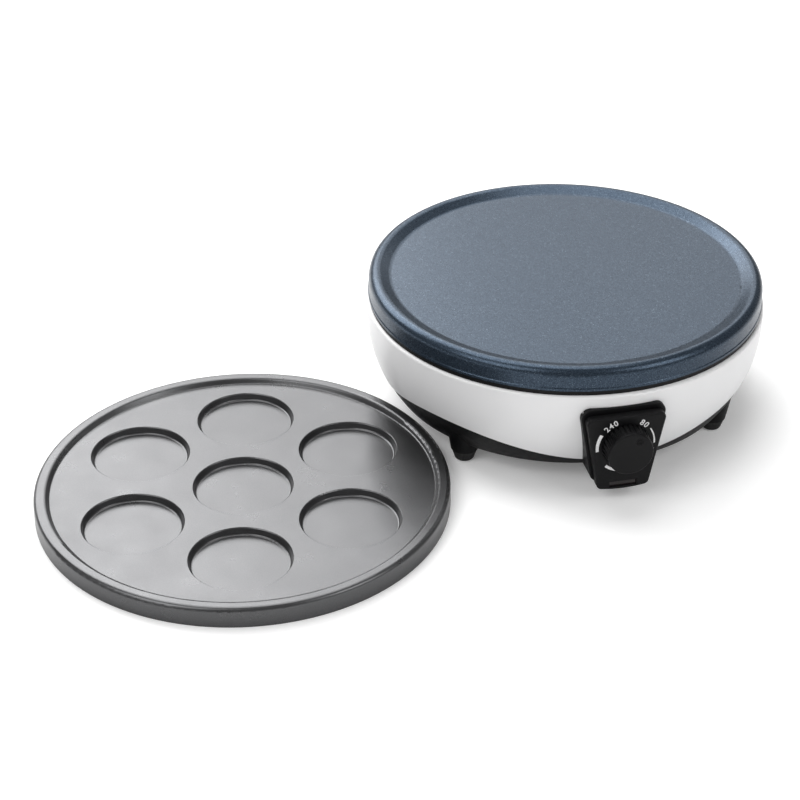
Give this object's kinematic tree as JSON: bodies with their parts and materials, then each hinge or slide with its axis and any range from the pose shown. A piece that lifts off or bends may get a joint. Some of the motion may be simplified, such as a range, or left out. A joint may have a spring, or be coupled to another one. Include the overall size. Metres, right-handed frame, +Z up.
{
  "type": "electric crepe maker",
  "caption": "Round electric crepe maker with a white bowl base, thermostat knob, lift-off crepe plate and a second plate with wells for mini pancakes.",
  "frame": {"origin": "base's vertical axis at the level of the table, under the centre of the crepe plate", "axes": "+Z up; the control panel faces -Y; the mini pancake plate lies towards -X"},
  "size_m": [0.6053, 0.4248, 0.113],
  "materials": {
    "white_shell": "satin white moulded plastic",
    "black_plastic": "fine moulded black plastic",
    "black_rubber": "soft black rubber",
    "zinc_steel": "zinc plated",
    "bright_sheet": "bright rolled sheet",
    "ceramic": "unglazed steatite",
    "element_steel": "heat-tinted sheath",
    "smoked_lens": "dark translucent window",
    "lamp_glass": "clear glass",
    "knob_plastic": "satin black moulded plastic",
    "switch_plastic": "cream thermoset",
    "brass_parts": "plain brass",
    "block_plastic": "white nylon",
    "wire_sleeve": "woven glass sleeve over copper",
    "navy_nonstick": "speckled navy non-stick coating on cast plate",
    "grey_nonstick": "dark grey non-stick coating on cast plate"
  },
  "bodies": {
    "base": {"housing_shell": "white_shell", "heat_ring": "black_plastic", "foot_collars": "black_plastic", "bottom_cover": "black_plastic", "rubber_feet": "black_rubber", "foot_screws": "zinc_steel", "cover_screws": "zinc_steel", "reflector_pan": "bright_sheet", "pan_standoffs": "bright_sheet", "pan_screws": "zinc_steel", "plate_supports": "ceramic", "heating_element": "element_steel", "element_terminals": "ceramic", "element_clips": "bright_sheet", "panel_housing": "black_plastic", "panel_face": "black_plastic", "pilot_lens": "smoked_lens", "pilot_lamp": "lamp_glass", "panel_screws": "zinc_steel", "thermostat_body": "switch_plastic", "thermostat_bracket": "bright_sheet", "sensor_bulb": "brass_parts", "sensor_clips": "bright_sheet", "thermal_fuse": "bright_sheet", "terminal_block": "block_plastic", "terminal_screws": "brass_parts", "earth_tab": "brass_parts", "cord_gland": "black_rubber", "wiring": "wire_sleeve"},
    "knob": {"control_knob": "knob_plastic", "knob_clip": "zinc_steel", "thermostat_spindle": "zinc_steel"},
    "crepe_plate_body": {"crepe_plate": "navy_nonstick"},
    "mini_plate_body": {"mini_pancake_plate": "grey_nonstick"}
  },
  "joints": [
    {"name": "knob_turn", "type": "hinge", "parent": "base", "child": "knob", "pos_m": [0, -0.1715, 0.052], "axis": [0, 1, 0], "range_deg": [0, 290]},
    {"name": "crepe_plate_lift", "type": "slide", "parent": "base", "child": "crepe_plate_body", "axis": [0, 0, 1], "range_m": [0, 0.15]},
    {"name": "mini_plate_lift", "type": "slide", "parent": "base", "child": "mini_plate_body", "axis": [-0.6645, -0.2418, 0.7071], "range_m": [0, 0.2]}
  ]
}
